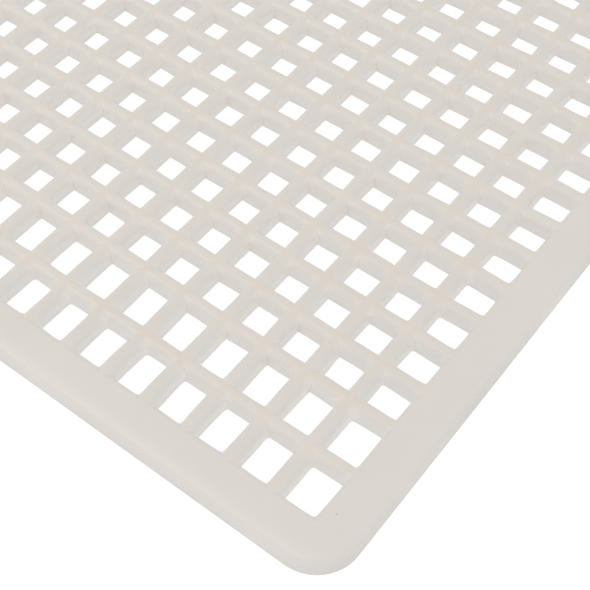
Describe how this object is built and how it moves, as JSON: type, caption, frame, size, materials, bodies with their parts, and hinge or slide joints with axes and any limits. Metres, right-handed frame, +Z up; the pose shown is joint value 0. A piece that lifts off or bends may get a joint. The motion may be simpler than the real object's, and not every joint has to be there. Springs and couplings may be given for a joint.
{
  "type": "queen excluder",
  "caption": "Flat rectangular plastic grid with a plain rounded border and small near-square openings, laid between two hive boxes to hold back the queen.",
  "frame": {"origin": "middle of the underside of the sheet", "axes": "+X along the longer side of the sheet, +Y from the front border to the back border, +Z up through the sheet"},
  "size_m": [0.1894, 0.178, 0.0026],
  "materials": {
    "moulded_plastic": "milky, slightly translucent natural plastic with a soft satin moulded surface"
  },
  "bodies": {
    "root": {"front_border": "moulded_plastic", "back_border": "moulded_plastic", "left_border": "moulded_plastic", "right_border": "moulded_plastic", "front_left_corner": "moulded_plastic", "front_right_corner": "moulded_plastic", "back_left_corner": "moulded_plastic", "back_right_corner": "moulded_plastic", "long_bar_01": "moulded_plastic", "long_bar_02": "moulded_plastic", "long_bar_03": "moulded_plastic", "long_bar_04": "moulded_plastic", "long_bar_05": "moulded_plastic", "long_bar_06": "moulded_plastic", "long_bar_07": "moulded_plastic", "long_bar_08": "moulded_plastic", "long_bar_09": "moulded_plastic", "long_bar_10": "moulded_plastic", "long_bar_11": "moulded_plastic", "long_bar_12": "moulded_plastic", "long_bar_13": "moulded_plastic", "long_bar_14": "moulded_plastic", "long_bar_15": "moulded_plastic", "long_bar_16": "moulded_plastic", "long_bar_17": "moulded_plastic", "long_bar_18": "moulded_plastic", "long_bar_19": "moulded_plastic", "long_bar_20": "moulded_plastic", "long_bar_21": "moulded_plastic", "long_bar_22": "moulded_plastic", "long_bar_23": "moulded_plastic", "long_bar_24": "moulded_plastic", "long_bar_25": "moulded_plastic", "cross_bar_01": "moulded_plastic", "cross_bar_02": "moulded_plastic", "cross_bar_03": "moulded_plastic", "cross_bar_04": "moulded_plastic", "cross_bar_05": "moulded_plastic", "cross_bar_06": "moulded_plastic", "cross_bar_07": "moulded_plastic", "cross_bar_08": "moulded_plastic", "cross_bar_09": "moulded_plastic", "cross_bar_10": "moulded_plastic", "cross_bar_11": "moulded_plastic", "cross_bar_12": "moulded_plastic", "cross_bar_13": "moulded_plastic", "cross_bar_14": "moulded_plastic", "cross_bar_15": "moulded_plastic", "cross_bar_16": "moulded_plastic", "cross_bar_17": "moulded_plastic", "cross_bar_18": "moulded_plastic", "cross_bar_19": "moulded_plastic", "cross_bar_20": "moulded_plastic", "cross_bar_21": "moulded_plastic", "cross_bar_22": "moulded_plastic", "cross_bar_23": "moulded_plastic", "cross_bar_24": "moulded_plastic", "cross_bar_25": "moulded_plastic", "cross_bar_26": "moulded_plastic", "cross_bar_27": "moulded_plastic"}
  },
  "joints": []
}
